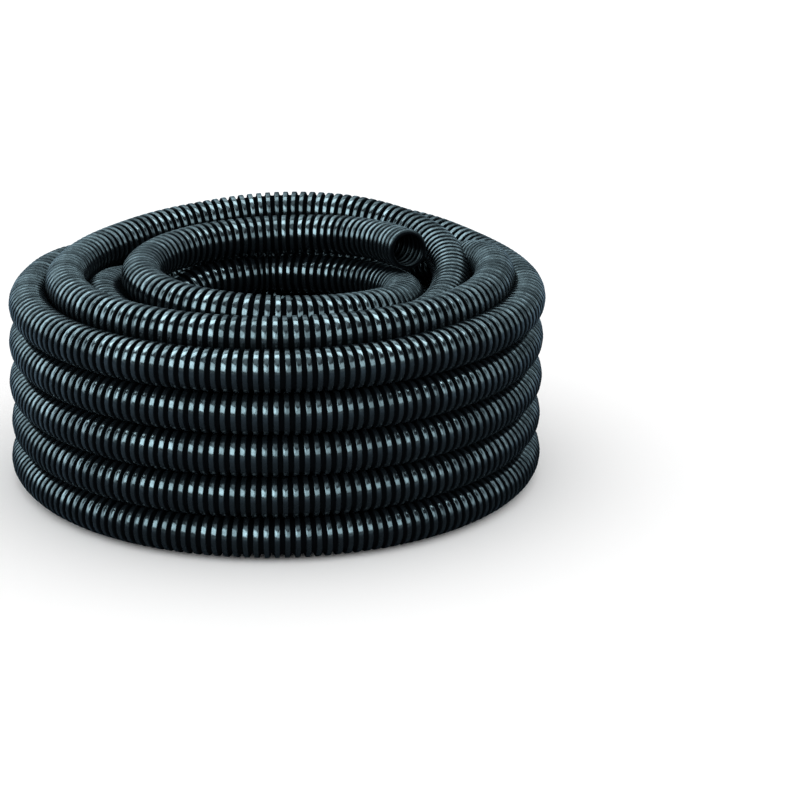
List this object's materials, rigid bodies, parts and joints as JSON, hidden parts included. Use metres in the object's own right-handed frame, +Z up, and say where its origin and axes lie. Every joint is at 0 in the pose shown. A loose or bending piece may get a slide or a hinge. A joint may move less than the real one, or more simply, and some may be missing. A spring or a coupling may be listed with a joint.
{
  "type": "corrugated conduit coil",
  "caption": "Coil of black corrugated plastic conduit lying flat, wound in nested turns, with one cut end standing free on top.",
  "frame": {"origin": "centre of the coil's outline, on the floor it lies on", "axes": "+Z up along the coil's axis, +Y away from the camera of the picture, +X to its right"},
  "size_m": [0.2772, 0.2772, 0.1251],
  "materials": {
    "conduit": "black, soft gloss on the rib crests"
  },
  "bodies": {
    "root": {"conduit_coil": "conduit"}
  },
  "joints": []
}
